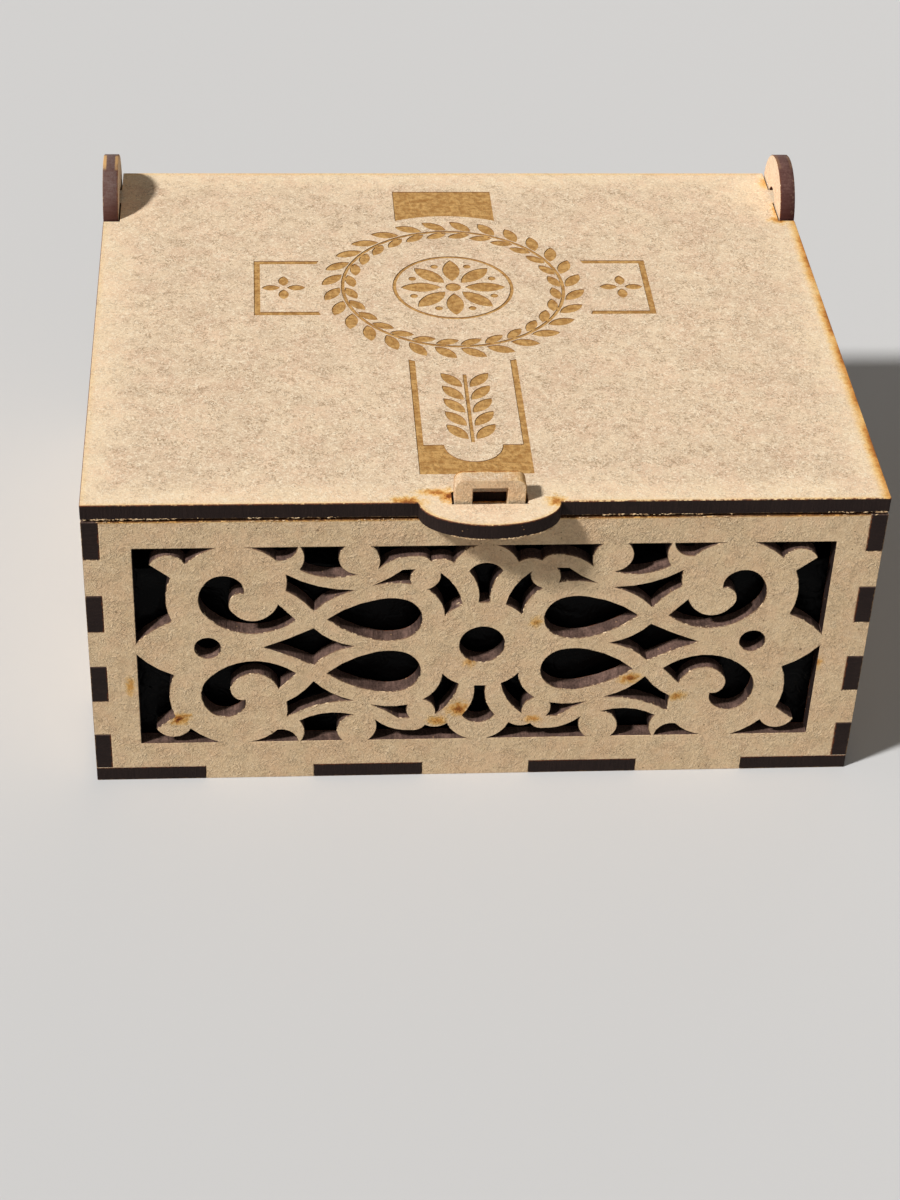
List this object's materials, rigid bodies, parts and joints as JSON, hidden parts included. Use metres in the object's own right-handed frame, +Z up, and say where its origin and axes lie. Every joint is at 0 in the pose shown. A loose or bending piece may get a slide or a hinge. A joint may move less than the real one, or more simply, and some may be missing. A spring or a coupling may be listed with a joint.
{
  "type": "keepsake box",
  "caption": "Finger-jointed hardboard box with a pierced scrollwork front, a tongue latch and a lid that turns on stub pins in round ears.",
  "frame": {"origin": "on the surface it stands on, under the middle of the closed box with its lip", "axes": "+X to the right along the front, +Y from the front to the back, +Z up"},
  "size_m": [0.14, 0.1238, 0.0708],
  "materials": {
    "hardboard": "raw laser-cut hardboard, cut edges charred dark brown",
    "lid_board": "raw laser-cut hardboard with brown engraving, cut edges charred dark brown",
    "film": "thin black glossy film, creased"
  },
  "bodies": {
    "case": {"base_panel": "hardboard", "front_panel": "hardboard", "back_panel": "hardboard", "left_side": "hardboard", "right_side": "hardboard", "liner": "film"},
    "lid_body": {"lid": "lid_board"}
  },
  "joints": [
    {"name": "lid_hinge", "type": "hinge", "parent": "case", "child": "lid_body", "pos_m": [0, 0.05187, 0.061], "axis": [-1, 0, 0], "range_deg": [0, 180]}
  ]
}
